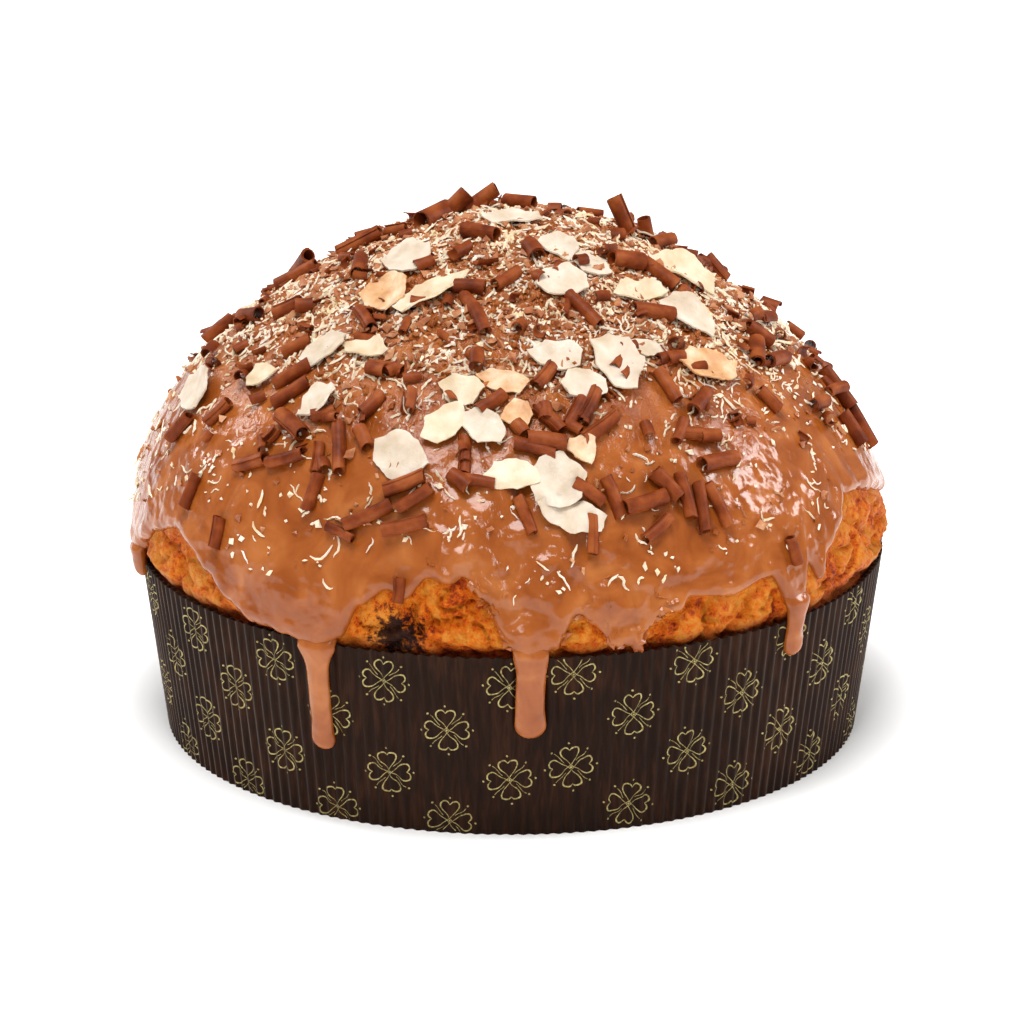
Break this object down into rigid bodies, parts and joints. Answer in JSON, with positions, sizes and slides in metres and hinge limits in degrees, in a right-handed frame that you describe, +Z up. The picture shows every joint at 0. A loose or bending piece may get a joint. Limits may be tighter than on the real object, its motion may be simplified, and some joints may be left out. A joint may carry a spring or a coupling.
{
  "type": "chocolate glazed panettone",
  "caption": "Low domed panettone in a fluted paper case, with a milk chocolate glaze that drips over the rim, chocolate curls and white flakes.",
  "frame": {"origin": "middle of the paper case's flat underside, on the surface that the panettone stands on", "axes": "+Z up through the middle of the dome, -Y towards the side that the picture shows, +X to its right"},
  "size_m": [0.2285, 0.2298, 0.1632],
  "materials": {
    "case_paper": "matt brown fluted baking paper, printed with small gold flower outlines",
    "baked_crust": "matt baked crust with a crumb texture",
    "milk_chocolate": "glossy set milk chocolate, with satin curls and pale flakes in it"
  },
  "bodies": {
    "root": {"paper_case": "case_paper", "baked_cake": "baked_crust", "milk_chocolate_glaze": "milk_chocolate"}
  },
  "joints": []
}
